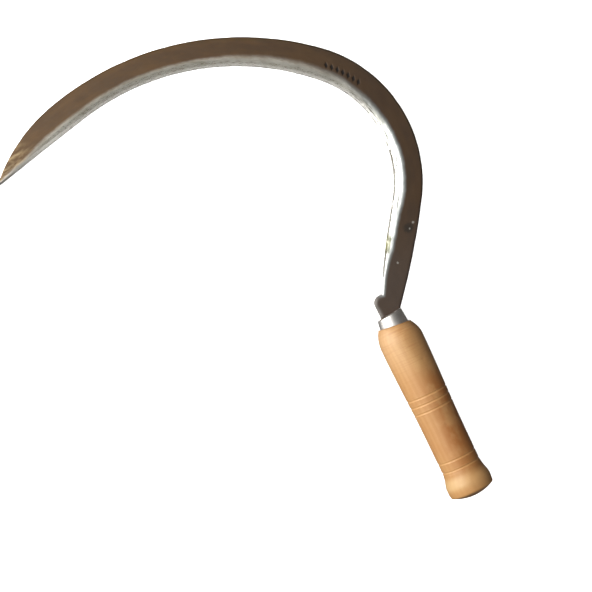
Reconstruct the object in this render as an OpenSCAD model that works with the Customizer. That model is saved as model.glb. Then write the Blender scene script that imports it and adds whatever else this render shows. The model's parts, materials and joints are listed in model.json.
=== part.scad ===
// Hand sickle: a forged crescent blade, a steel ferrule, a turned wooden handle and the washer
// that the blade's tang is peened over at the butt.
// It lies as it does on a bench, bevel upwards, on the handle's shoulder and the blade's back,
// with the handle along Y and the blade towards +Y. The origin is on the bench, under the middle.

/* [Blade] */
// Thickness of the blade at the heel
heel_t = 2.8; // [2:0.1:4]
// Thickness of the blade at the point
point_t = 1.4; // [1:0.1:2.5]
// Width of the ground bevel along most of the edge
bevel_w = 7.8; // [4:0.1:10]
// Angle of the ground bevel where it is wide
bevel_angle = 17; // [10:0.5:30]
// Angle of the ground bevel where it is narrow
steep_angle = 23; // [15:0.5:40]
// Height of the blunt edge that grinding leaves
edge_land = 0.3; // [0.1:0.05:0.6]
// Width of the rounding along the top of the back
back_round = 1.3; // [0.5:0.1:2.5]
// Direction in which the back leaves the neck, from +X
back_heading = 49.3; // [40:0.1:60]
// Direction in which the cutting edge leaves the heel, from +X
edge_heading = 60.9; // [50:0.1:70]
// Reach of the point to the left of the handle's axis
point_reach = 219; // [180:1:260]
// Height of the point above the ferrule's mouth
point_rise = 206; // [160:1:240]

/* [Tang] */
// Width of the tang at the blade's shoulder
tang_w = 9; // [6:0.5:12]
// Width of the tang at its far end
tang_end_w = 4.2; // [3:0.1:6]
// Thickness of the tang
tang_t = 3.2; // [2.5:0.1:4]
// Length of the tang's flat part
tang_len = 132; // [100:1:140]
// Radius of the round end that is peened over
pin_r = 1.5; // [1:0.1:2]
// Radius of the peened head
head_r = 3.2; // [2.5:0.1:4.5]

/* [Ferrule] */
// Radius of the ferrule at its mouth
ferrule_top_r = 9.8; // [8:0.1:12]
// Radius of the ferrule where it meets the wood
ferrule_base_r = 10.8; // [9:0.1:13]
// Length of the ferrule
ferrule_h = 8.5; // [6:0.5:20]
// Wall of the ferrule
ferrule_wall = 1.3; // [0.8:0.1:2]

/* [Handle] */
// Distance from the ferrule's mouth to the end of the butt
handle_len = 144.8; // [120:0.1:170]
// Radius of the shoulder, the thick part next to the ferrule
shoulder_r = 16.5; // [14:0.1:19]
// Radius of the turned curve from the ferrule to the shoulder
shoulder_curve = 24; // [15:1:40]
// Radius of the narrowest part of the grip
grip_r = 14.65; // [12:0.05:17]
// Radius of the flare at the butt
flare_r = 17.2; // [15:0.1:20]
// Distance from the end of the butt to the widest part of the flare
flare_from_end = 10.6; // [8:0.1:15]
// Radius of the domed end of the butt
dome_curve = 34; // [25:1:60]
// Depth of the turned lines
groove_d = 0.5; // [0.2:0.1:1]
// Half the width of a turned line
groove_half_w = 0.7; // [0.4:0.1:1.2]

/* [Washer] */
// Radius of the washer
washer_r = 7; // [5:0.5:9]
// Thickness of the washer
washer_t = 1.2; // [0.8:0.1:2]
// Depth of the washer's outer face below the end of the butt
washer_sink = 2.4; // [1.8:0.1:4]

/* [Hidden] */
$fn = 96;
slip = 0.05;
tang_room = 0.25;
// The tang stands a little to the right of the axis and starts inside the neck
tang_side = 1;
tang_overlap = 2;
pin_overlap = 3;

steel_dark = [0.36, 0.30, 0.24];
steel_bright = [0.72, 0.71, 0.68];
wood = [0.80, 0.58, 0.38];

// --- the blade's outline: arcs, each [length, turn in degrees], from the handle to the point ---
neck = [9.9, 1.8];
heel = [1.2, 16.2];
point = [-point_reach, point_rise];
back_arcs = [[80, 8.2], [145, 81.8], [209, 55.4]];
edge_arcs = [[67.7, -6.2], [110.3, 79.9], [182.3, 57.5]];
arc_steps = [10, 26, 26, 12];
tip_stop = 0.997;

function along(p, h, len, turn, f) =
    abs(turn) < 0.01 ? p + f * len * [cos(h), sin(h)]
    : p + len / turn * 180 / PI * [sin(h + f * turn) - sin(h), cos(h) - cos(h + f * turn)];
function half_turn(p, h, q) = (atan2(q[1] - p[1], q[0] - p[0]) - h + 540) % 360 - 180;
function arc_to(p, h, q) =
    let (d = half_turn(p, h, q))
    [p, h, norm(q - p) * d * PI / 180 / sin(d), 2 * d];
// The arcs in turn, each starting as the one before it ends, and a last one to the point
function route(p, h, arcs, i = 0) =
    i == len(arcs) ? [arc_to(p, h, point)]
    : let (a = arcs[i])
      concat([[p, h, a[0], a[1]]], route(along(p, h, a[0], a[1], 1), h + a[1], arcs, i + 1));
function on_arc(a, f) = along(a[0], a[1], a[2], a[3], f);

back = route(neck, back_heading, back_arcs);
edge = route(heel, edge_heading, edge_arcs);

// Each station pairs a place on the back with one on the edge
stations = [
    for (k = [0:3], i = [0:arc_steps[k]])
        if (k == 0 || i > 0) [k, i == arc_steps[k] && k == 3 ? tip_stop : i / arc_steps[k]]
];
last = len(stations) - 1;
back_pts = [for (s = stations) on_arc(back[s[0]], s[1])];
edge_pts = [for (s = stations) on_arc(edge[s[0]], s[1])];

// --- the blade's section ---
under_z = -heel_t / 2;
// Bevel width as a share of bevel_w, against the station's share of the way to the point
bevel_law = [[0, 0.26], [0.03, 0.26], [0.05, 0.4], [0.07, 0.66], [0.1, 0.74], [0.13, 0.93],
    [0.18, 1.02], [0.25, 1], [0.31, 0.89], [0.38, 0.72], [0.45, 0.9], [0.52, 0.99],
    [0.6, 0.88], [0.85, 0.95], [0.89, 0.88], [0.93, 0.48], [1, 0.1]];
bevel_limit = 0.62;
back_limit = 0.2;
function way(i) = i / last;
function thick(i) = heel_t + (point_t - heel_t) * way(i);
function section(i) =
    let (
        e = edge_pts[i],
        w = norm(back_pts[i] - e),
        out = (back_pts[i] - e) / w,
        t = thick(i),
        b = min(bevel_w * lookup(way(i), bevel_law), bevel_limit * w),
        slope = min(max((t - edge_land) / b, tan(bevel_angle)), tan(steep_angle)),
        land = max(edge_land, t - b * slope),
        c = min(back_round, back_limit * w),
        at = function (d, z) [e[0] + d * out[0], e[1] + d * out[1], under_z + z]
    )
    [
        at(0, 0),
        at(0, land),
        at(b, t),
        at(w - c, t),
        at(w - 0.25 * c, 0.85 * t),
        at(w, 0.55 * t),
        at(w, 0.2 * t),
        at(w - 0.3 * c, 0)
    ];
ring_n = 8;

// --- the handle's outline, as [radius, distance behind the ferrule's mouth] ---
shoulder_at = 22;
swell_end = 25;
waist_at = 97;
waist_dip = 0.2;
flare_start = 122;
bead_h = 0.35;
bead_end = 123.5;
flare_at = handle_len - flare_from_end;
grooves = [63.3, 68.7, 74.4, 113.8, 120.9];
function ease(u) = let (v = min(max(u, 0), 1)) v * v * (3 - 2 * v);
function shoulder_shape(d) =
    shoulder_r - shoulder_curve + sqrt(shoulder_curve ^ 2 - (shoulder_at - d) ^ 2);
function grip_shape(d) =
    shoulder_r + (grip_r + waist_dip - shoulder_r) * ease((d - swell_end) / (waist_at - swell_end))
    - waist_dip * ease((d - waist_at) / (flare_start - waist_at));
function flare_shape(d) =
    grip_r + bead_h * ease((d - flare_start) / 2)
    + (flare_r - grip_r - bead_h) * ease((d - bead_end) / (flare_at - bead_end));
dome_mid = handle_len - dome_curve;
function dome_at(r) = dome_mid + sqrt(dome_curve ^ 2 - r ^ 2);
end_r = flare_r - 0.6;
function grooved(d) = [
    [grip_shape(d - groove_half_w), d - groove_half_w],
    [grip_shape(d) - groove_d, d],
    [grip_shape(d + groove_half_w), d + groove_half_w]
];
tenon_top_r = ferrule_top_r - ferrule_wall - slip;
tenon_base_r = ferrule_base_r - ferrule_wall - slip;
tenon_gap = 0.3;
profile = concat(
    [[0, tenon_gap], [tenon_top_r, tenon_gap], [tenon_base_r, ferrule_h]],
    [for (d = [ferrule_h:1.5:shoulder_at]) [shoulder_shape(d), d]],
    [for (d = [shoulder_at:3:grooves[0] - 2]) [grip_shape(d), d]],
    [for (g = [0:2]) each grooved(grooves[g])],
    [for (d = [grooves[2] + 3.6:3.5:grooves[3] - 3]) [grip_shape(d), d]],
    [for (g = [3:4]) each grooved(grooves[g])],
    [for (d = [flare_start:1.1:flare_at]) [flare_shape(d), d]],
    [
        [flare_r, flare_at + 1.5],
        [flare_r - 0.2, flare_at + 3.5],
        [end_r, dome_at(end_r) - 0.6]
    ],
    [for (r = [end_r - 0.7:-2.2:washer_r]) [r, dome_at(r)]],
    [[0, dome_at(washer_r)]]
);

// --- how it lies: the shoulder's curve and the underside of the back both touch the bench ---
back_top = max([for (p = back_pts) p[1]]);
lie_y = back_top + shoulder_at;
lie_z = shoulder_r - shoulder_curve + under_z;
lie = atan2(lie_z, lie_y) + asin(shoulder_curve / norm([lie_y, lie_z]));
axis_z = back_top * sin(lie) - under_z * cos(lie);
mid_x = (max([for (p = back_pts) p[0]]) - point_reach) / 2;
far_y = back_top * cos(lie) + (under_z + thick(0.7 * last)) * sin(lie);
near_y = -dome_at(washer_r) * cos(lie) - washer_r * sin(lie);
mid_y = (far_y + near_y) / 2;

module placed() {
    translate([-mid_x, -mid_y, axis_z])
        rotate([-lie, 0, 0])
            children();
}

// Turns a profile of [radius, distance] about the handle's axis
module turned(points) {
    rotate([90, 0, 0])
        rotate_extrude()
            polygon(points);
}

// A round hole about the handle's axis, between two distances behind the mouth
module bore(radius, from, to) {
    turned([[0, from], [radius, from], [radius, to], [0, to]]);
}

module crescent() {
    rings = [for (i = [0:last]) each section(i)];
    sides = [
        for (i = [0:last - 1], j = [0:ring_n - 1])
            let (a = i * ring_n + j, b = i * ring_n + (j + 1) % ring_n)
            each [[a, b + ring_n, b], [a, a + ring_n, b + ring_n]]
    ];
    start = [for (j = [0:ring_n - 1]) j];
    finish = [for (j = [ring_n - 1:-1:0]) last * ring_n + j];
    polyhedron(points = rings, faces = concat(sides, [start, finish]));
}

// The neck and the rounded heel behind the cutting edge
module neck_plate() {
    root = [-6.5, 0.4];
    side = [-6.8, 9.9];
    crest = [-2.4, 15.9];
    knuckle = arc_to(side, 92, crest);
    overlap = (back_pts[3] + edge_pts[3]) / 2;
    translate([0, 0, under_z])
        linear_extrude(height = heel_t)
            polygon(concat(
                [root],
                [for (i = [0:8]) on_arc(knuckle, i / 8)],
                [heel, overlap, neck]
            ));
}

// A flat bar that narrows along the handle, from its wide end at the ferrule's mouth
module taper_bar(wide, narrow, thickness, length) {
    translate([0, 0, -thickness / 2])
        linear_extrude(height = thickness)
            polygon([
                [-wide / 2, 0],
                [-narrow / 2, -length],
                [narrow / 2, -length],
                [wide / 2, 0]
            ]);
}

module blade() {
    head_at = handle_len - washer_sink;
    head_h = 1.5;
    placed()
        color(steel_dark)
            union() {
                crescent();
                neck_plate();
                translate([tang_side, tang_overlap, 0])
                    taper_bar(tang_w, tang_end_w, tang_t, tang_len + tang_overlap);
                turned([
                    [0, tang_len - pin_overlap],
                    [pin_r, tang_len - pin_overlap],
                    [pin_r, head_at],
                    [head_r, head_at],
                    [0.7 * head_r, head_at + 0.7 * head_h],
                    [0, head_at + head_h]
                ]);
            }
}

module ferrule() {
    placed()
        color(steel_bright)
            turned([
                [ferrule_top_r - ferrule_wall, 0],
                [ferrule_top_r - 0.3, 0],
                [ferrule_top_r, 0.3],
                [ferrule_base_r, ferrule_h],
                [ferrule_base_r - ferrule_wall, ferrule_h]
            ]);
}

module handle() {
    seat = handle_len - washer_sink - washer_t;
    placed()
        color(wood)
            difference() {
                turned(profile);
                translate([tang_side, tang_overlap, 0])
                    taper_bar(
                        tang_w + 2 * tang_room,
                        tang_end_w + 2 * tang_room,
                        tang_t + 2 * tang_room,
                        tang_len + tang_overlap + 1
                    );
                bore(pin_r + tang_room, tang_len, seat + 1);
                bore(washer_r + slip, seat, handle_len + 1);
            }
}

module tang_washer() {
    outer = handle_len - washer_sink;
    placed()
        color(steel_bright)
            turned([
                [pin_r + slip, outer - washer_t],
                [washer_r, outer - washer_t],
                [washer_r, outer - 0.3],
                [washer_r - 0.3, outer],
                [pin_r + slip, outer]
            ]);
}

blade();
ferrule();
handle();
tang_washer();
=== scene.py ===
"""The looks of the hand sickle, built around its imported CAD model.

Shapes are drawn in millimetres in the sickle's own plan: the handle's axis along Y with the ferrule's
mouth at 0, the blade towards +Y, and the blade's flat face level. in_row() then lays them on the bench.
"""

import json
import math

import bmesh
import bpy
import numpy as np
from mathutils import Matrix, Vector


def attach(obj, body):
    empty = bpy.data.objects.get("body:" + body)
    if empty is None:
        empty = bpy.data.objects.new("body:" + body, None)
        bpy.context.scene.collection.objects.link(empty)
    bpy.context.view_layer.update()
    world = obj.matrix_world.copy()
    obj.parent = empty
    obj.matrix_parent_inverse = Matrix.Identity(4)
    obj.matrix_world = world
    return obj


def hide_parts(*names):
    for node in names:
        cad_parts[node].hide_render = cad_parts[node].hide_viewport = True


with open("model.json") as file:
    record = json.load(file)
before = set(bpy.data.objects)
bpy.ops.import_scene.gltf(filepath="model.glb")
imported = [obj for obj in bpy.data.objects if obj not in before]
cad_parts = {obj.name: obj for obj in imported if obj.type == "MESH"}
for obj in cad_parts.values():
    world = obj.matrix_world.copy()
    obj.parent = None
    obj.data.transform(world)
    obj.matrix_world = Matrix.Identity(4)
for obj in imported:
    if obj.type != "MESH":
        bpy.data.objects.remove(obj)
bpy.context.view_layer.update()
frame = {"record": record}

MM = 0.001

# --- driving dimensions, in millimetres and degrees ---
HEEL_T = 2.8
POINT_T = 1.4
BEVEL_W = 7.8
BEVEL_FLAT, BEVEL_STEEP = math.tan(math.radians(17)), math.tan(math.radians(23))
BEVEL_LIMIT = 0.62
BEVEL_BLEND, HONED_BLEND = 0.42, 0.08
EDGE_LAND = 0.28
HONED_FROM, HONED_SLOPE, HONED_HEEL = 0.18, 0.9, 9.0
BACK_ROUND, UNDER_ROUND = 1.5, 0.55
BACK_FALL = 0.42
TANG_W, TANG_END_W, TANG_T, TANG_LEN = 9.0, 4.2, 3.2, 132.0
TANG_SIDE, TANG_TOP, TANG_CHAMFER = 1.0, 0.6, 0.4
PIN_R, HEAD_R, HEAD_H = 1.5, 3.2, 1.5
FERRULE_TOP_R, FERRULE_BASE_R, FERRULE_H, FERRULE_WALL = 9.8, 10.8, 8.5, 1.3
HANDLE_LEN = 144.8
SHOULDER_R, SHOULDER_CURVE, SHOULDER_AT = 16.5, 24.0, 22.0
GRIP_R, FLARE_R, FLARE_FROM_END, DOME_CURVE = 14.65, 17.2, 10.6, 34.0
GROOVE_D, GROOVE_HALF_W = 0.34, 0.9
WOOD_WORN = 0.09
GROOVES = (63.3, 68.7, 74.4, 113.8, 120.9)
WASHER_R, WASHER_T, WASHER_SINK = 7.0, 1.2, 2.4
GRIP_MOUNT_AT = 97.0
# The ferrule was driven on a little askew: both of its ends slope across the handle
RIM_SLOPE, FOOT_SLOPE = 0.093, -0.107

# The blade's outline: arcs, each (length, turn), from the neck and the heel to the point
NECK = np.array([9.9, 1.8])
HEEL = np.array([1.2, 16.2])
POINT = np.array([-219.0, 206.0])
BACK_HEADING, BACK_ARCS = 49.3, [(80, 8.2), (145, 81.8), (209, 55.4)]
EDGE_HEADING, EDGE_ARCS = 60.9, [(67.7, -6.2), (110.3, 79.9), (182.3, 57.5)]
STATION_STEP, STAMP_STEP, LAST_STATION = 0.75, 0.32, 0.994

# The hand-ground bevel: its width as a share of BEVEL_W, by the share of the way along the blade
BEVEL_LAW = [
    (0, 0.26), (0.03, 0.26), (0.055, 0.38), (0.08, 0.66), (0.12, 0.74), (0.15, 0.93),
    (0.19, 1.02), (0.24, 1.0), (0.29, 0.89), (0.34, 0.72), (0.36, 0.72), (0.40, 0.90),
    (0.46, 0.99), (0.55, 0.88), (0.85, 0.95), (0.89, 0.88), (0.93, 0.48), (1, 0.1),
]
# Small nicks in the edge: (way along, depth)
NICKS = [(58, 0.22), (131, 0.3), (177, 0.16), (236, 0.25), (301, 0.18), (352, 0.34), (398, 0.2)]

# A row of plain punched lozenges: where it runs, then each one's depth and half sizes
STAMP_FROM, STAMP_TO, STAMP_IN, STAMP_MARKS = 169.0, 200.0, 12.6, 7
STAMP_DEPTH, STAMP_HALF_LEN, STAMP_HALF_W = 0.22, 1.9, 3.0

# Dents in the handle: (distance behind the mouth, angle round, depth, size)
DENTS = [
    (38, 0.5, 0.22, 1.6), (52, -0.9, 0.16, 1.1), (88, 0.2, 0.2, 1.4), (103, 1.7, 0.22, 1.8),
    (131, -0.4, 0.25, 1.3), (47, 2.6, 0.2, 1.5), (95, -2.3, 0.24, 1.7), (134, 2.2, 0.25, 1.5),
]

# --- colours, as linear red, green and blue ---
FACE_BROWN, FACE_UMBER = (0.088, 0.050, 0.022), (0.070, 0.042, 0.022)
FACE_RUST, FACE_GREY = (0.106, 0.060, 0.027), (0.045, 0.036, 0.030)
FACE_PAINTED_SHADE, FACE_HEEL, FACE_BACK_SHADE = (0.022, 0.014, 0.012), (0.078, 0.062, 0.054), (0.035, 0.028, 0.024)
STRAW, SMUT = (0.36, 0.27, 0.145), (0.020, 0.018, 0.015)
PIT, PUNCHED = (0.34, 0.33, 0.30), (0.006, 0.005, 0.005)
GROUND_LOW, GROUND_HIGH, GROUND_STAIN = (0.37, 0.36, 0.315), (0.50, 0.49, 0.44), (0.27, 0.25, 0.19)
GROUND_PAINTED_GLEAM, GROUND_PAINTED_DIM, GROUND_COOL = (0.75, 0.74, 0.70), (0.27, 0.265, 0.235), (0.41, 0.435, 0.43)
GROUND_WORN, GROUND_POINT, GROUND_EDGE = (0.20, 0.205, 0.195), (0.92, 0.91, 0.85), (0.80, 0.79, 0.75)
GROUND_DASH, GROUND_HAIR, GROUND_OLIVE = (0.024, 0.020, 0.014), (0.036, 0.032, 0.025), (0.085, 0.085, 0.040)
FEATHERED = (0.19, 0.225, 0.245)
WOOD_LOW, WOOD_HIGH, WOOD_STREAK = (0.470, 0.265, 0.107), (0.515, 0.302, 0.128), (0.44, 0.235, 0.095)
WOOD_CLOUD, WOOD_TAN_AND_SHADE, WOOD_PORE = (0.50, 0.265, 0.105), (0.33, 0.125, 0.032), (0.33, 0.17, 0.075)
WOOD_RING, WOOD_SHOULDER_HIGHLIGHT, WOOD_BUTT = (0.38, 0.175, 0.065), (0.62, 0.41, 0.23), (0.46, 0.245, 0.086)
WOOD_FLARE_HIGHLIGHT, WOOD_FOOT, WOOD_GROOVE = (0.60, 0.42, 0.21), (0.40, 0.19, 0.062), (0.60, 0.35, 0.14)
WOOD_GRIME, WOOD_END = (0.42, 0.20, 0.07), (0.40, 0.235, 0.115)

# Marks on the face above the heel: (way along, distance in, size, colour)
PITS = [(54.0, 14.6, 5.0, SMUT), (58.0, 17.4, 1.3, PIT), (53.4, 15.6, 1.0, PIT), (28.0, 10.2, 1.2, PIT)]


# --- placing: the plan's axes in the row's frame come from the two mounts ---
mounts = {m["name"]: m for m in frame["record"]["mounts"]}
plan_y = Vector(mounts["grip"]["axis"]).normalized()
plan_z = -Vector(mounts["blade_underside"]["axis"]).normalized()
plan_x = plan_y.cross(plan_z).normalized()
plan_z = plan_x.cross(plan_y)
plan_origin = Vector(mounts["grip"]["pos_m"]) + plan_y * GRIP_MOUNT_AT * MM
IN_ROW = Matrix.Translation(plan_origin) @ Matrix((plan_x, plan_y, plan_z)).transposed().to_4x4()


def in_row(points):
    """Plan points in millimetres, as an array, to row points in metres."""
    turn = np.array(IN_ROW.to_3x3())
    return points * MM @ turn.T + np.array(IN_ROW.translation)


# --- small numeric helpers ---
def ease(u):
    v = np.clip(u, 0.0, 1.0)
    return v * v * (3 - 2 * v)


def soft_min(a, b, blend):
    h = np.clip(0.5 + 0.5 * (b - a) / blend, 0.0, 1.0)
    return b + (a - b) * h - blend * h * (1 - h)


def ripple(s, parts):
    """A repeatable uneven line: a sum of sines, each (wavelength, height, phase)."""
    return sum(height * np.sin(2 * np.pi * s / wave + phase) for wave, height, phase in parts)


def hash_noise(x, y, seed):
    """Smooth repeatable noise from -1 to 1 on a unit grid."""
    xi, yi = np.floor(x), np.floor(y)
    fx, fy = ease(x - xi), ease(y - yi)

    def corner(i, j):
        n = np.sin(i * 127.1 + j * 311.7 + seed * 74.7) * 43758.5453
        return 2 * (n - np.floor(n)) - 1

    low = corner(xi, yi) * (1 - fx) + corner(xi + 1, yi) * fx
    high = corner(xi, yi + 1) * (1 - fx) + corner(xi + 1, yi + 1) * fx
    return low * (1 - fy) + high * fy


# --- the outline's arcs ---
def along(start, heading, length, turn, share):
    """Points at the given shares of an arc that leaves start in the direction heading."""
    share = np.asarray(share, float)[..., None]
    h = math.radians(heading)
    a = math.radians(turn)
    radius = length / a
    return start + radius * np.concatenate(
        [np.sin(h + share * a) - math.sin(h), math.cos(h) - np.cos(h + share * a)], axis=-1
    )


def arc_to(start, heading, end):
    """The arc (start, heading, length, turn) that leaves start in that direction and ends at end."""
    v = np.asarray(end, float) - start
    half = (math.degrees(math.atan2(v[1], v[0])) - heading + 540) % 360 - 180
    return start, heading, math.hypot(*v) * math.radians(half) / math.sin(math.radians(half)), 2 * half


def route(start, heading, arcs, end):
    out = []
    for length, turn in arcs:
        out.append((start, heading, length, turn))
        start = along(start, heading, length, turn, 1.0)
        heading += turn
    out.append(arc_to(start, heading, end))
    return out


# --- meshes ---
def make_piece(name, points, faces, attributes=None, smooth=True):
    """A mesh piece from plan points. Each attribute is one number or one triple per vertex."""
    mesh = bpy.data.meshes.new(name)
    mesh.from_pydata(in_row(points).tolist(), [], faces)
    mesh.validate()
    mesh.polygons.foreach_set("use_smooth", [smooth] * len(mesh.polygons))
    attributes = dict(attributes or {})
    attributes["plan"] = points
    for key, values in attributes.items():
        values = np.asarray(values, float)
        kind, field = ("FLOAT_VECTOR", "vector") if values.ndim == 2 else ("FLOAT", "value")
        layer = mesh.attributes.new(key, kind, "POINT")
        layer.data.foreach_set(field, values.ravel())
    work = bmesh.new()
    work.from_mesh(mesh)
    bmesh.ops.recalc_face_normals(work, faces=work.faces)
    work.to_mesh(mesh)
    work.free()
    piece = bpy.data.objects.new(name, mesh)
    bpy.context.scene.collection.objects.link(piece)
    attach(piece, "root")
    return piece


def skin(rows, columns, first=0, closed_rows=False):
    """Quads between rows of points that each close on themselves."""
    faces = []
    for i in range(rows if closed_rows else rows - 1):
        a = first + i * columns
        b = first + (i + 1) % rows * columns
        for j in range(columns):
            k = (j + 1) % columns
            faces.append((a + j, a + k, b + k, b + j))
    return faces


def turn_profile(profile, segments, shape=None, closed=False):
    """Turns (radius, distance behind the mouth) about the handle's axis. shape may move the points."""
    profile = np.asarray(profile, float)
    angle = np.linspace(0, 2 * np.pi, segments, endpoint=False)
    r, d = profile[:, 0][:, None], profile[:, 1][:, None]
    x, z = r * np.sin(angle), r * np.cos(angle)
    y = np.broadcast_to(-d, x.shape)
    if shape is not None:
        x, y, z = shape(x, y, z, r, d, angle)
    points = np.stack([x, y, z], axis=-1).reshape(-1, 3)
    faces = skin(len(profile), segments, closed_rows=closed)
    if not closed:
        faces.append(tuple(range(segments)))
        faces.append(tuple(range(len(points) - 1, len(points) - 1 - segments, -1)))
    return points, faces


# --- the blade ---
def blade_stations():
    """Paired places on the edge and the back, with their way along the blade in millimetres."""
    root_left = np.array([-6.5, 0.35 - 6.5 * RIM_SLOPE])
    root_right = np.array([9.7, 0.35 + 9.7 * RIM_SLOPE])
    side, crest = np.array([-6.8, 9.9]), np.array([-2.4, 15.9])
    n = 12
    share = np.linspace(0, 1, n, endpoint=False)
    inner = [root_left + (side - root_left) * share[:, None]]
    inner.append(along(*arc_to(side, 92, crest), np.linspace(0, 1, 2 * n, endpoint=False)))
    inner.append(crest + (HEEL - crest) * np.linspace(0, 1, n // 2, endpoint=False)[:, None])
    inner = np.concatenate(inner)
    outer = root_right + (NECK - root_right) * np.linspace(0, 1, len(inner), endpoint=False)[:, None]
    way = [np.linspace(-20, 0, len(inner), endpoint=False)]
    inner, outer = [inner], [outer]
    backs = route(NECK, BACK_HEADING, BACK_ARCS, POINT)
    edges = route(HEEL, EDGE_HEADING, EDGE_ARCS, POINT)
    done = 0.0
    for back, edge in zip(backs, edges):
        length = (back[2] + edge[2]) / 2
        marks = [0.0]
        while marks[-1] < length - 0.35:
            at = done + marks[-1]
            fine = STAMP_FROM - 1 < at < STAMP_TO + 1
            marks.append(marks[-1] + (STAMP_STEP if fine else STATION_STEP))
        share = np.array(marks) / length
        share = share[share < LAST_STATION]
        inner.append(along(*edge, share))
        outer.append(along(*back, share))
        way.append(done + share * length)
        done += length
    return np.concatenate(inner), np.concatenate(outer), np.concatenate(way), done


def stamp_depth(way, across):
    pitch = (STAMP_TO - STAMP_FROM) / STAMP_MARKS
    inside = (way > STAMP_FROM) & (way < STAMP_TO)
    local = (way - STAMP_FROM) % pitch - pitch / 2
    lozenge = 1 - np.abs(local) / STAMP_HALF_LEN - np.abs(across - STAMP_IN) / STAMP_HALF_W
    return np.where(inside, ease(lozenge * 2.2), 0.0)


def blade_mesh():
    edge, back, way, total = blade_stations()
    u = np.clip(way / total, 0, 1)
    t = HEEL_T + (POINT_T - HEEL_T) * u
    width = np.linalg.norm(back - edge, axis=1)
    out = (back - edge) / width[:, None]

    # The bevel's width wanders, and it fades to a narrow worn side at the heel
    law = np.interp(u, *zip(*BEVEL_LAW))
    feather = 1.4 * (3.4 + 2.2 * ease((u - 0.27) / 0.08) * ease((0.62 - u) / 0.08))
    wander = ripple(way, [(27, 0.14, 1.9), (11.3, 0.10, 0.2), (5.1, 0.05, 2.2)])
    bevel = np.minimum(BEVEL_W * law + wander * ease(u / 0.12), BEVEL_LIMIT * width)
    slope = np.clip((t - EDGE_LAND) / bevel, BEVEL_FLAT, BEVEL_STEEP)
    land = np.maximum(EDGE_LAND, t - bevel * slope)
    back_round = np.minimum(BACK_ROUND, 0.25 * width)

    # The edge has small nicks from use, and the forged back is not quite fair
    past_heel = ease(u / 0.05)
    nicks = sum(depth * np.exp(-((way - at) / 0.9) ** 2) for at, depth in NICKS)
    edge_in = (nicks + np.maximum(0, ripple(way, [(3.7, 0.04, 0), (9.1, 0.05, 1)]))) * past_heel
    back_in = np.maximum(0, ripple(way, [(33, 0.07, 0.3), (14, 0.06, 1.2), (7.3, 0.03, 0)])) * past_heel

    n_bevel, n_face, n_back = 16, 30, 8
    rows, rows_ground, rows_stamp = [], [], []

    def row(d, z, ground, stamp=None):
        rows.append((d, z + 0 * d))
        rows_ground.append(ground)
        rows_stamp.append(np.zeros_like(d) if stamp is None else stamp)

    start, end = edge_in, width - back_in

    def top(d):
        """Height of the upper side at a distance d from the nominal edge."""
        plane = land + (t - land) * d / bevel
        z = soft_min(plane, t + 0 * d, BEVEL_BLEND)
        honed = HONED_FROM + (d - start) * HONED_SLOPE
        z = soft_min(z, honed + ease(1 - u / 0.16) * HONED_HEEL, HONED_BLEND)
        low = np.clip((d - (end - back_round)) / back_round, 0, 1)
        z = z - BACK_FALL * t * (1 - np.sqrt(np.maximum(0, 1 - low**2)))
        face = ease((d - bevel) / 2) * ease((end - d) / 2)
        hammered = 0.05 * hash_noise(way / 9, d / 7, 1) + 0.03 * hash_noise(way / 4, d / 4, 2)
        ground = 0.008 * hash_noise(way / 7, d / 3, 3) * ease(u / 0.1) * ease(1 - (d - bevel + 1) / 2)
        return z + hammered * face + ground

    for k in range(n_bevel):
        d = start + (bevel + 0.2 - start) * (k / n_bevel) ** 1.35
        row(d, top(d), ease(0.5 + (bevel - d) / feather))
    for k in range(n_face):
        share = k / n_face
        d = (bevel + 0.2) + (end - back_round - bevel - 0.2) * (share**1.25 * 0.55 + share * 0.45)
        stamp = stamp_depth(way, d)
        row(d, top(d) - STAMP_DEPTH * stamp, ease(0.5 + (bevel - d) / feather), stamp)
    for k in range(n_back + 1):
        d = end - back_round + back_round * math.sin(math.pi / 2 * k / n_back)
        row(d, top(d), 0 * d)
    side_top = top(end)
    for share in (0.35, 0.7):
        row(end, side_top * (1 - share) + UNDER_ROUND * share, 0 * end)
    for a in (0, 30, 60, 90):
        a = math.radians(a)
        row(end - UNDER_ROUND * (1 - math.cos(a)), UNDER_ROUND * (1 - math.sin(a)), 0 * end)
    for share in (0.1, 0.3, 0.55, 0.8, 0.93):
        d = (end - UNDER_ROUND) + (start - (end - UNDER_ROUND)) * share
        row(d, 0 * d, ease((1.5 - d) / 1.0))
    row(start, 0.02 + 0 * start, 1 + 0 * start)

    columns = len(rows)
    d = np.stack([r[0] for r in rows], axis=1)
    z = np.stack([r[1] for r in rows], axis=1) - HEEL_T / 2
    xy = edge[:, None, :] + d[..., None] * out[:, None, :]
    points = np.concatenate([xy, z[..., None]], axis=-1).reshape(-1, 3)
    count = len(edge)
    faces = skin(count, columns)
    faces.append(tuple(range(columns)))
    faces.append(tuple(range(count * columns - 1, (count - 1) * columns - 1, -1)))
    lay = np.stack([np.repeat(way, columns), d.ravel(), z.ravel()], axis=1)
    return points, faces, {
        "lay": lay,
        "ground": np.stack(rows_ground, axis=1).ravel(),
        "stamp": np.stack(rows_stamp, axis=1).ravel(),
        "inset": (width[:, None] - d).ravel(),
    }


def add_blade():
    points, faces, attributes = blade_mesh()
    return make_piece("blade_steel", points, faces, attributes)


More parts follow.
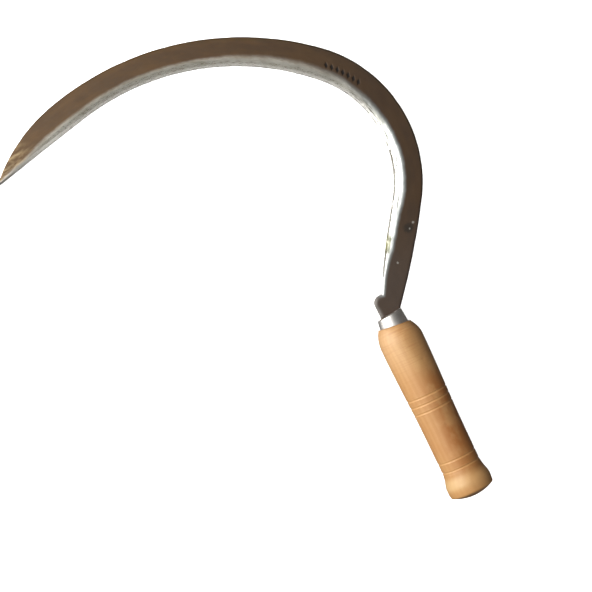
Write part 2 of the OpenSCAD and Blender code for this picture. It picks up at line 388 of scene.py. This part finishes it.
def add_tang():
    """The flat tapered tang inside the handle, and the end that is peened over the washer."""
    rows = []
    steps = 8
    half_t, c = TANG_T / 2, TANG_CHAMFER
    for i in range(steps + 1):
        share = i / steps
        half_w = (TANG_W + (TANG_END_W - TANG_W) * share) / 2
        y = TANG_TOP - (TANG_LEN + TANG_TOP) * share
        ring = [
            (half_w, half_t - c), (half_w - c, half_t), (-half_w + c, half_t), (-half_w, half_t - c),
            (-half_w, -half_t + c), (-half_w + c, -half_t), (half_w - c, -half_t), (half_w, -half_t + c),
        ]
        rows += [(TANG_SIDE * (1 - share) + x, y, z) for x, z in ring]
    corners = len(ring)
    faces = skin(steps + 1, corners)
    faces.append(tuple(range(corners)))
    faces.append(tuple(range(len(rows) - 1, len(rows) - 1 - corners, -1)))
    tang = make_piece("tang", np.array(rows), faces, smooth=False)

    outer = HANDLE_LEN - WASHER_SINK
    dome = [(PIN_R, TANG_LEN - 2), (PIN_R, outer + 0.05)]
    dome += [(HEAD_R * 0.93, outer + 0.05), (HEAD_R, outer + 0.25)]
    for a in range(10, 90, 10):
        r = HEAD_R * math.cos(math.radians(a)) ** 0.8
        dome.append((r, outer + 0.25 + (HEAD_H - 0.25) * math.sin(math.radians(a))))

    def hammered(x, y, z, r, d, angle):
        dent = 0.10 * hash_noise(x / 1.3 + 5, z / 1.3, 9) * ease((d - outer - 0.3) / 0.5)
        return x, y + dent, z

    points, faces = turn_profile(dome, 40, hammered)
    return tang, make_piece("peened_end", points, faces)


# --- the handle ---
def dome_at(r):
    return HANDLE_LEN - DOME_CURVE + np.sqrt(DOME_CURVE**2 - r**2)


def handle_radius(d):
    """Radius of the turned wood at a distance behind the ferrule's mouth."""
    flare_at = HANDLE_LEN - FLARE_FROM_END
    before = np.maximum(SHOULDER_AT - d, 0)
    shoulder = SHOULDER_R - SHOULDER_CURVE + np.sqrt(SHOULDER_CURVE**2 - before**2)
    swell = (GRIP_R + 0.2 - SHOULDER_R) * ease((d - 25) / 72) - 0.2 * ease((d - 97) / 25)
    flare = 0.35 * ease((d - 122) / 2) + (FLARE_R - GRIP_R - 0.35) * ease((d - 123.5) / (flare_at - 123.5))
    past = np.maximum(d - flare_at, 0)
    radius = shoulder + swell + flare - 0.010 * past**2.2
    for at in GROOVES:
        away = np.abs(d - at)
        radius = radius - GROOVE_D * np.maximum(0, 1 - (away / GROOVE_HALF_W) ** 1.3)
        radius = radius + 0.05 * np.exp(-((away - 1.05) / 0.3) ** 2)
    rings = ripple(d, [(2.3, 0.035, 0.5), (1.37, 0.02, 1.1)]) * ease((d - 9) / 4) * ease((34 - d) / 10)
    return radius + rings - WOOD_WORN


def handle_profile():
    tenon_top = FERRULE_TOP_R - FERRULE_WALL - 0.05
    tenon_base = FERRULE_BASE_R - FERRULE_WALL - 0.05
    first = FERRULE_H - 0.1
    stops = np.arange(first + 0.5, HANDLE_LEN - 6.2, 0.5)
    for at in GROOVES:
        stops = stops[np.abs(stops - at) > 1.5]
        stops = np.concatenate([stops, at + np.arange(-1.5, 1.51, 0.15)])
    stops = np.sort(stops)
    rows = [(0.8, 0.6), (4.0, 0.6), (tenon_top - 0.4, 0.6), (tenon_top, 1.0), (tenon_base, first)]
    lip = handle_radius(first + 0.5)
    rows += [(tenon_base + 0.4, first), (lip - 0.55, first + 0.02), (lip - 0.2, first + 0.16)]
    rows += [(handle_radius(d), d) for d in stops]
    rim = rows[-1][0]
    corner = dome_at(rim - 0.9)
    rows.append((rim - 0.12, stops[-1] + 0.5 * (corner - stops[-1])))
    rows += [(rim - 0.4, corner - 0.35), (rim - 0.9, corner)]
    rows += [(r, dome_at(r)) for r in np.arange(rim - 1.5, WASHER_R + 0.5, -0.6)]
    seat = HANDLE_LEN - WASHER_SINK - WASHER_T
    rows += [(WASHER_R + 0.3, dome_at(WASHER_R + 0.3) - 0.05), (WASHER_R + 0.08, dome_at(WASHER_R) - 0.3)]
    rows += [(WASHER_R + 0.08, seat + 0.1), (WASHER_R - 0.1, seat), (4.0, seat), (1.7, seat)]
    return rows


def add_handle():
    def shape(x, y, z, r, d, angle):
        """Follows the ferrule's skew at the mouth, and is a little out of round from wear."""
        skew = FOOT_SLOPE * x * (1 - ease((d - FERRULE_H) / 14)) * ease((d - 3) / 5)
        worn = 1 + 0.0022 * np.sin(2 * angle + 0.8) * ease((d - 20) / 30) * ease((120 - d) / 20)
        dents = 0.0
        for at, around, depth, size in DENTS:
            apart = (angle - around + np.pi) % (2 * np.pi) - np.pi
            dents = dents + depth * np.exp(-((d - at) ** 2 + (apart * r) ** 2) / size**2)
        factor = worn - np.where(r > 9, dents / np.maximum(r, 1), 0)
        return x * factor, y + skew, z * factor

    points, faces = turn_profile(handle_profile(), 160, shape)
    return make_piece("handle_wood", points, faces)


# --- the ferrule and the washer ---
def add_ferrule():
    slope = (FERRULE_BASE_R - FERRULE_TOP_R) / FERRULE_H
    rows = [(FERRULE_TOP_R - FERRULE_WALL, 0.25), (FERRULE_TOP_R - FERRULE_WALL + 0.2, 0.06)]
    rows += [(FERRULE_TOP_R - 0.75, 0.0), (FERRULE_TOP_R - 0.3, 0.05), (FERRULE_TOP_R - 0.08, 0.22)]
    rows += [(FERRULE_TOP_R + slope * d, d) for d in np.linspace(0.55, FERRULE_H - 0.5, 18)]
    rows += [(FERRULE_BASE_R - 0.1, FERRULE_H - 0.15), (FERRULE_BASE_R - 0.4, FERRULE_H)]
    rows += [(FERRULE_BASE_R - FERRULE_WALL, FERRULE_H)]
    rows += [(FERRULE_BASE_R - FERRULE_WALL - slope * d, FERRULE_H - d) for d in (2, 4, 6)]

    def shape(x, y, z, r, d, angle):
        """Hammered on: its ends slope, and its wall has shallow flats."""
        share = ease(d / FERRULE_H)
        skew = (RIM_SLOPE * (1 - share) + FOOT_SLOPE * share) * x + 0.15 * (1 - share)
        flats = 0.03 * np.sin(5 * angle + 0.4) + 0.012 * np.sin(11 * angle + d * 0.4)
        dent = 0.14 * np.exp(-(((angle - 5.6) * r / 2.0) ** 2 + ((d - 4.2) / 1.6) ** 2))
        factor = 1 + (flats - dent) / np.maximum(r, 1)
        return x * factor, y + skew, z * factor

    points, faces = turn_profile(rows, 144, shape, closed=True)
    return make_piece("ferrule_steel", points, faces)


def add_washer():
    outer = HANDLE_LEN - WASHER_SINK
    under = outer - WASHER_T
    rows = [(PIN_R + 0.05, under), (WASHER_R - 0.2, under), (WASHER_R, under + 0.2)]
    rows += [(WASHER_R, outer - 0.3), (WASHER_R - 0.1, outer - 0.1), (WASHER_R - 0.32, outer)]
    rows += [(r, outer) for r in (6.0, 5.0, 4.0, 3.0)]
    rows += [(PIN_R + 0.05, outer)]

    def shape(x, y, z, r, d, angle):
        """Dished a little where the peened end pulls it down."""
        dish = 0.12 * ease(1 - r / 6) * ease((d - outer + 0.4) / 0.3)
        return x, y + dish, z

    points, faces = turn_profile(rows, 72, shape, closed=True)
    return make_piece("washer_steel", points, faces)


# --- materials ---
class Nodes:
    """Short ways to add and join the nodes of one material."""

    def __init__(self, name):
        self.material = bpy.data.materials.new(name)
        self.material.use_nodes = True
        self.tree = self.material.node_tree
        self.shader = self.tree.nodes["Principled BSDF"]

    def add(self, kind, inputs=None, **settings):
        node = self.tree.nodes.new("ShaderNode" + kind)
        for key, value in settings.items():
            setattr(node, key, value)
        for key, value in (inputs or {}).items():
            self.put(node.inputs[key], value)
        return node

    def put(self, socket, value):
        if isinstance(value, bpy.types.NodeSocket):
            self.tree.links.new(value, socket)
        elif isinstance(value, tuple) and len(value) == 3 and socket.type == "RGBA":
            socket.default_value = (*value, 1.0)
        else:
            socket.default_value = value

    def attribute(self, name, vector=False):
        node = self.add("Attribute", attribute_name=name)
        return node.outputs["Vector" if vector else "Fac"]

    def math(self, operation, a, b=0.0, clamp=False):
        return self.add("Math", {0: a, 1: b}, operation=operation, use_clamp=clamp).outputs[0]

    def times(self, a, b, c=1.0):
        product = self.math("MULTIPLY", a, b)
        return product if c == 1.0 else self.math("MULTIPLY", product, c)

    def plus(self, a, b, clamp=False):
        return self.math("ADD", a, b, clamp)

    def distance(self, a, b):
        return self.add("VectorMath", {0: a, 1: b}, operation="DISTANCE").outputs["Value"]

    def scaled(self, vector, factors, shift=(0, 0, 0)):
        node = self.add("Mapping", {"Vector": vector, "Scale": factors, "Location": shift})
        return node.outputs[0]

    def noise(self, vector, factors, shift=(0, 0, 0), detail=3.0, roughness=0.55):
        """Noise with its own scale along each axis, in cells per millimetre."""
        values = {"Vector": self.scaled(vector, factors, shift), "Scale": 1.0}
        values.update({"Detail": detail, "Roughness": roughness})
        return self.add("TexNoise", values).outputs["Fac"]

    def spread(self, value, low, high, to_low=0.0, to_high=1.0):
        """Eases a value from low to high over to to_low to to_high. low may be the larger."""
        values = {"Value": value, "From Min": low, "From Max": high, "To Min": to_low, "To Max": to_high}
        return self.add("MapRange", values, interpolation_type="SMOOTHSTEP").outputs[0]

    def tint(self, colour, tone, where, share=1.0):
        """Mixes a tone into a colour, by at most share, where the mask is 1."""
        return self.mix(self.times(where, share) if share < 1 else where, colour, tone)

    def mix(self, share, a, b):
        node = self.add("Mix", data_type="RGBA")
        self.put(node.inputs[0], share)
        self.put(node.inputs[6], a)
        self.put(node.inputs[7], b)
        return node.outputs[2]

    def blend(self, share, a, b):
        node = self.add("Mix", data_type="FLOAT")
        self.put(node.inputs[0], share)
        self.put(node.inputs[2], a)
        self.put(node.inputs[3], b)
        return node.outputs[0]

    def bump(self, height, distance, strength):
        values = {"Height": height, "Distance": distance, "Strength": strength}
        return self.add("Bump", values).outputs[0]

    def set(self, **values):
        for key, value in values.items():
            self.put(self.shader.inputs[key.replace("_", " ")], value)


def patina(n, lay, way, fine, speck):
    """The forged face: warm brown over grey steel, in soft patches drawn out along the blade."""
    patches = n.noise(lay, (0.035, 0.10, 0.1), detail=4)
    face = n.mix(n.spread(patches, 0.35, 0.65), FACE_BROWN, FACE_UMBER)
    face = n.tint(face, FACE_RUST, n.spread(fine, 0.45, 0.75), 0.35)
    face = n.tint(face, FACE_GREY, n.spread(speck, 0.62, 0.78), 0.35)
    # Painted shade: the face darkens towards the heel, standing in for the light falling off there
    face = n.tint(face, FACE_PAINTED_SHADE, n.spread(way, 290, 150, 0.0, 0.38))
    face = n.tint(face, FACE_HEEL, n.spread(way, 80, 10, 0.0, 0.5))

    # Straw-coloured scuffs near the point
    scuffs = n.spread(n.noise(lay, (0.10, 0.26, 0.3), (3.1, 0.4, 0), 4, 0.6), 0.40, 0.72)
    face = n.tint(face, STRAW, n.times(scuffs, n.spread(way, 428, 452)), 0.75)

    # A dark patch above the heel, small bright pits in it and below it, and the punched row
    for at, d, size, tone in PITS:
        apart = n.distance(lay, (at, d, 1.0))
        apart = n.plus(apart, n.times(n.math("SUBTRACT", speck, 0.5), 0.9 * size))
        face = n.tint(face, tone, n.spread(apart, size, size * 0.35), 0.7)
    return n.tint(face, PUNCHED, n.attribute("stamp"), 0.9)


def ground_steel(n, lay, way, across, marks):
    """The ground bevel: stone marks across it, stains, wear, painted light and shade along its highlight,
    and the bright honed edge.
    """
    bright = n.mix(n.spread(marks, 0.3, 0.7), GROUND_LOW, GROUND_HIGH)
    stain = n.noise(lay, (0.06, 0.22, 0.2), (0, 2, 0), 4)
    bright = n.tint(bright, GROUND_STAIN, n.spread(stain, 0.46, 0.68), 0.6)
    # Painted highlight: the bevel along the top of the curve is lightened, standing in for the light it
    # reflects there
    painted_gleam = n.times(n.spread(way, 185, 215), n.spread(way, 305, 280))
    bright = n.tint(bright, GROUND_PAINTED_GLEAM, painted_gleam, 0.15)
    # Painted shade: the bevel is darkened over the stretch where its highlight falls off
    painted_dim = n.times(n.spread(way, 138, 156), n.spread(way, 240, 215))
    bright = n.tint(bright, GROUND_PAINTED_DIM, painted_dim, 0.4)
    bright = n.tint(bright, GROUND_COOL, n.spread(way, 168, 122, 0.0, 0.75))
    worn = n.spread(n.noise(lay, (0.022, 0.75, 0.3), (1, 4, 0), 3, 0.5), 0.48, 0.66)
    bright = n.tint(bright, GROUND_WORN, n.times(worn, n.spread(way, 160, 130, 0.0, 0.6)))
    point_end = n.times(n.spread(way, 385, 430), n.spread(across, 3.4, 2.2, 0.15, 0.9))
    bright = n.tint(bright, GROUND_POINT, point_end)
    bright = n.tint(bright, GROUND_EDGE, n.spread(across, 3.2, 1.2, 0.0, 0.75))

    # Dark dashes and a broken hairline near the edge, and an oily stain above the heel
    dashes = n.spread(n.noise(lay, (0.09, 1.3, 0.3), (0, 7, 0), 3, 0.6), 0.53, 0.60)
    dashes = n.times(dashes, n.spread(across, 6.5, 3.0), n.spread(way, 30, 44))
    bright = n.tint(bright, GROUND_DASH, n.times(dashes, n.spread(way, 210, 140, 0.05, 0.95)))
    hairline = n.spread(n.noise(lay, (0.13, 0.2, 0.2), (6, 1, 0), 3, 0.6), 0.30, 0.42)
    hairline = n.times(hairline, n.spread(across, 1.6, 1.1), n.spread(way, 138, 120))
    bright = n.tint(bright, GROUND_HAIR, n.times(hairline, n.spread(way, 4, 14)), 0.92)
    olive = n.times(n.spread(way, 30, 36), n.spread(way, 50, 44), n.spread(across, 4.6, 2.4))
    return n.tint(bright, GROUND_OLIVE, olive, 0.8)


def blade_material():
    n = Nodes("forged_blade")
    lay = n.attribute("lay", vector=True)
    split = n.add("SeparateXYZ", {"Vector": lay})
    way, across = split.outputs[0], split.outputs[1]
    fine = n.noise(lay, (0.25, 0.5, 0.5), detail=5, roughness=0.6)
    speck = n.noise(lay, (1.1, 1.6, 1.0), detail=2, roughness=0.5)
    marks = n.noise(lay, (0.22, 2.4, 0.3), detail=4, roughness=0.65)
    cross = n.noise(lay, (1.6, 2.4, 0.3), detail=3, roughness=0.6)

    # Where the grinding stops it is feathered, unevenly, over the scale
    edge_noise = n.times(n.math("SUBTRACT", n.noise(lay, (0.4, 0.9, 0.5), detail=4), 0.5), 0.45)
    ground = n.times(n.attribute("ground"), n.spread(way, -4, 2, 0.12, 1.0))
    uneven = n.times(ground, n.math("SUBTRACT", 1.0, ground), 4.0)
    ground = n.plus(ground, n.times(edge_noise, uneven), clamp=True)
    colour = n.mix(ground, patina(n, lay, way, fine, speck), ground_steel(n, lay, way, across, marks))
    colour = n.tint(colour, FEATHERED, n.times(uneven, n.spread(way, 215, 150, 0.0, 0.4)))
    # Painted shade: a darker band along the rounded back, where it turns away from the light
    rim = n.times(n.spread(n.attribute("inset"), 2.6, 0.5), n.spread(way, 260, 150))
    colour = n.tint(colour, FACE_BACK_SHADE, rim, 0.3)

    rough_face = n.spread(fine, 0.3, 0.7, 0.46, 0.60)
    rough_ground = n.spread(marks, 0.3, 0.7, 0.24, 0.34)
    n.set(Base_Color=colour)
    n.set(Metallic=n.blend(ground, 0.55, 1.0))
    n.set(Roughness=n.blend(ground, rough_face, rough_ground))
    face_relief = n.plus(n.times(fine, 0.5), n.times(speck, 0.15))
    ground_relief = n.plus(n.times(marks, 0.5), n.times(cross, 0.2))
    n.set(Normal=n.bump(n.blend(ground, face_relief, ground_relief), 0.00012, 0.6))
    return n.material


def plain_steel_material(name, low, high, roughness, marks_scale):
    n = Nodes(name)
    plan = n.attribute("plan", vector=True)
    cloud = n.noise(plan, (0.18, 0.18, 0.18), detail=4)
    fine = n.noise(plan, marks_scale, detail=4, roughness=0.6)
    colour = n.mix(n.spread(cloud, 0.3, 0.7), low, high)
    colour = n.tint(colour, tuple(0.45 * c for c in low), n.spread(fine, 0.6, 0.78), 0.35)
    n.set(Base_Color=colour, Metallic=1.0)
    n.set(Roughness=n.spread(fine, 0.3, 0.7, roughness - 0.06, roughness + 0.08))
    n.set(Normal=n.bump(fine, 0.00008, 0.5))
    return n.material


def wood_material():
    n = Nodes("lacquered_wood")
    plan = n.attribute("plan", vector=True)
    split = n.add("SeparateXYZ", {"Vector": plan})
    aside = split.outputs[0]
    down = n.times(split.outputs[1], -1.0)

    # Growth layers around a pith outside the handle, and fine flecks along the grain
    bent = n.noise(plan, (0.05, 0.012, 0.05))
    sideways = n.add("VectorMath", {0: plan, 1: (1, 0, 1)}, operation="MULTIPLY").outputs[0]
    layer = n.plus(n.distance(sideways, (-21.0, 0, -34.0)), n.times(bent, 7.0))
    band = n.math("SINE", n.times(layer, 2.1))
    streak = n.noise(plan, (1.4, 0.045, 1.4), detail=4, roughness=0.6)
    pores = n.noise(plan, (4.5, 0.30, 4.5), detail=2, roughness=0.5)
    cloud = n.noise(plan, (0.09, 0.045, 0.09), (2, 1, 0))
    colour = n.mix(n.spread(band, -1, 1), WOOD_LOW, WOOD_HIGH)
    colour = n.tint(colour, WOOD_STREAK, n.spread(streak, 0.35, 0.7), 0.22)
    colour = n.tint(colour, WOOD_CLOUD, n.spread(cloud, 0.4, 0.7), 0.4)

    # A deeper tan where the hand holds it, made stronger on the shaded side as painted shade, and faint
    # turning rings at the shoulder
    tan = n.spread(n.noise(plan, (0.075, 0.05, 0.075), (5, 3, 1), 4), 0.30, 0.58, 0.25, 1.0)
    tan = n.plus(n.times(tan, n.spread(down, 28, 66, 0.2, 1.0)), n.spread(down, 76, 108, 0.0, 0.5))
    # Painted shade: the tan grows towards the right side, which faces away from the light
    tan = n.times(tan, n.spread(down, 130, 122), n.spread(aside, -8, 9, 0.3, 1.0))
    colour = n.tint(colour, WOOD_TAN_AND_SHADE, tan)
    colour = n.tint(colour, WOOD_PORE, n.spread(pores, 0.60, 0.75), 0.14)
    rings = n.spread(n.noise(plan, (0.05, 1.1, 0.05), (4, 0, 2), 3, 0.6), 0.48, 0.68)
    colour = n.tint(colour, WOOD_RING, n.times(rings, n.spread(down, 50, 14, 0.15, 0.72)))

    # Paler on the left, lit side of the shoulder and of the flare, as painted highlights; darker at the
    # foot
    shoulder = n.times(n.spread(down, 52, 18, 0.0, 0.34), n.spread(aside, 3, -9))
    colour = n.tint(colour, WOOD_SHOULDER_HIGHLIGHT, shoulder)
    colour = n.tint(colour, WOOD_BUTT, n.spread(down, 100, 128, 0.0, 0.35))
    # Painted highlight on the left, lit side of the flare
    flare = n.times(n.spread(down, 124, 129), n.spread(down, 137, 132), n.spread(aside, 6, -12, 0.0, 0.5))
    colour = n.tint(colour, WOOD_FLARE_HIGHLIGHT, flare)
    colour = n.tint(colour, WOOD_FOOT, n.spread(down, 133, 139, 0.0, 0.4))

    # The turned lines show paler wood, grime sits against the ferrule, and the end shows its grain
    for at in GROOVES:
        away = n.math("ABSOLUTE", n.math("SUBTRACT", down, at))
        colour = n.tint(colour, WOOD_GROOVE, n.spread(away, 1.4, 0.2, 0.0, 0.36))
    grime = n.times(n.spread(down, 11.5, 8.3), n.spread(streak, 0.2, 0.8, 0.5, 1.0))
    colour = n.tint(colour, WOOD_GRIME, grime, 0.35)
    end_grain = n.spread(down, HANDLE_LEN - 4.6, HANDLE_LEN - 3.6)
    colour = n.tint(colour, WOOD_END, end_grain, 0.45)

    n.set(Base_Color=colour)
    n.set(Roughness=n.spread(streak, 0.3, 0.7, 0.5, 0.6))
    n.set(Coat_Weight=0.12, Coat_Roughness=0.4)
    n.set(Normal=n.bump(n.plus(n.times(streak, 0.6), n.times(pores, -0.5)), 0.00012, 0.5))
    return n.material


def floor_material():
    n = Nodes("pale_floor")
    n.set(Base_Color=(0.86, 0.86, 0.86), Roughness=1.0)
    return n.material


# --- the object ---
blade = add_blade()
tang, peened_end = add_tang()
handle = add_handle()
ferrule = add_ferrule()
washer = add_washer()

blade.data.materials.append(blade_material())
handle.data.materials.append(wood_material())
for piece, name, low, high, roughness, marks_scale in [
    (tang, "tang_steel", (0.20, 0.18, 0.16), (0.30, 0.28, 0.26), 0.5, (1.2, 1.2, 1.2)),
    (peened_end, "peened_steel", (0.36, 0.34, 0.31), (0.48, 0.46, 0.43), 0.38, (1.2, 1.2, 1.2)),
    (ferrule, "ferrule_steel", (0.66, 0.65, 0.63), (0.76, 0.75, 0.73), 0.48, (0.5, 1.6, 0.5)),
    (washer, "washer_steel", (0.46, 0.44, 0.41), (0.60, 0.58, 0.55), 0.34, (1.2, 1.2, 1.2)),
]:
    piece.data.materials.append(plain_steel_material(name, low, high, roughness, marks_scale))

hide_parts("blade")
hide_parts("handle")
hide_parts("ferrule")
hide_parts("tang_washer")

# --- floor, light and camera ---
VIEW_CENTRE = (-55.4, 41.6, 0.0)
VIEW_WIDTH = 431.0
VIEW_LEAN = 25.4
VIEW_DISTANCE = 1100.0
lean = math.radians(VIEW_LEAN)
RIGHT = np.array([math.cos(lean), -math.sin(lean), 0.0])
UP = np.array([math.sin(lean), math.cos(lean), 0.0])
OUT = np.array([0.0, 0.0, 1.0])
BLADE_MIDDLE, HANDLE_MIDDLE = (-40.0, 90.0, 0.0), (0.0, -60.0, 15.0)
FLOOR_HALF_M = 6.0

# Soft lamps: (name, aimed at, place right, up and out from there, size, watts, colour)
LAMPS = [
    ("key", BLADE_MIDDLE, (-720, 50, 1180), 640, 8.4, (1.0, 0.99, 0.97)),
    ("ceiling", BLADE_MIDDLE, (-150, -250, 1500), 2200, 4.4, (1.0, 0.98, 0.95)),
    ("fill", BLADE_MIDDLE, (-600, 0, 1300), 900, 11, (1.0, 0.99, 0.96)),
    ("side", HANDLE_MIDDLE, (-1100, 80, 480), 900, 13.5, (1.0, 0.98, 0.95)),
]
WASH_STRENGTH, WASH_ANGLE = 5.2, 75


def seen_from(centre, right, up, out):
    """A plan place given in the camera's right, up and out directions from centre."""
    return np.array(centre) + right * RIGHT + up * UP + out * OUT


def aim(thing, place, target, top=None):
    """Puts thing at a plan place and turns its -Z towards a plan target, with top uppermost."""
    place, target, origin = in_row(np.array([place, target, (0, 0, 0)]))
    back = Vector(place - target).normalized()
    up = Vector((0, 1, 0)) if top is None else Vector(in_row(np.array([top]))[0] - origin)
    side = up.cross(back).normalized()
    turn = Matrix((side, back.cross(side), back)).transposed().to_4x4()
    thing.matrix_world = Matrix.Translation(Vector(place)) @ turn


def add_lamp(name, kind, place, target):
    lamp = bpy.data.objects.new(name, bpy.data.lights.new(name, kind))
    bpy.context.scene.collection.objects.link(lamp)
    aim(lamp, place, target)
    return lamp


def add_soft_lamp(name, target, place, size, watts, colour):
    lamp = add_lamp(name, "AREA", seen_from(target, *place), target)
    lamp.data.shape = "DISK"
    lamp.data.size = size * MM
    lamp.data.energy = watts
    lamp.data.color = colour
    return lamp


def add_wash(floor):
    """Falls on the floor only, to keep it pale to the far end and the shadow soft."""
    wash = add_lamp("wash", "SUN", seen_from(BLADE_MIDDLE, 300, 0, 1500), BLADE_MIDDLE)
    wash.data.energy = WASH_STRENGTH
    wash.data.angle = math.radians(WASH_ANGLE)
    lit = bpy.data.collections.new("washed")
    lit.objects.link(floor)
    wash.light_linking.receiver_collection = lit


def add_floor():
    mesh = bpy.data.meshes.new("floor")
    corners = [(FLOOR_HALF_M * x, FLOOR_HALF_M * y, 0) for x, y in [(-1, -1), (1, -1), (1, 1), (-1, 1)]]
    mesh.from_pydata(corners, [], [(0, 1, 2, 3)])
    floor = bpy.data.objects.new("floor", mesh)
    bpy.context.scene.collection.objects.link(floor)
    floor.data.materials.append(floor_material())
    floor.visible_diffuse = False
    floor.visible_glossy = False
    return floor


def add_world():
    world = bpy.data.worlds.new("room")
    world.use_nodes = True
    background = world.node_tree.nodes["Background"]
    background.inputs["Color"].default_value = (1.0, 0.93, 0.86, 1.0)
    background.inputs["Strength"].default_value = 0.13
    bpy.context.scene.world = world


def add_camera():
    data = bpy.data.cameras.new("camera")
    data.sensor_width = 36.0
    data.lens = data.sensor_width * VIEW_DISTANCE / VIEW_WIDTH
    data.clip_start = 0.01
    camera = bpy.data.objects.new("camera", data)
    bpy.context.scene.collection.objects.link(camera)
    aim(camera, seen_from(VIEW_CENTRE, 0, 0, VIEW_DISTANCE), VIEW_CENTRE, UP)
    bpy.context.scene.camera = camera


floor = add_floor()
add_world()
lamps = {row[0]: add_soft_lamp(*row) for row in LAMPS}
lamps["fill"].visible_glossy = False
add_wash(floor)
add_camera()
bpy.context.scene.view_settings.view_transform = "Standard"
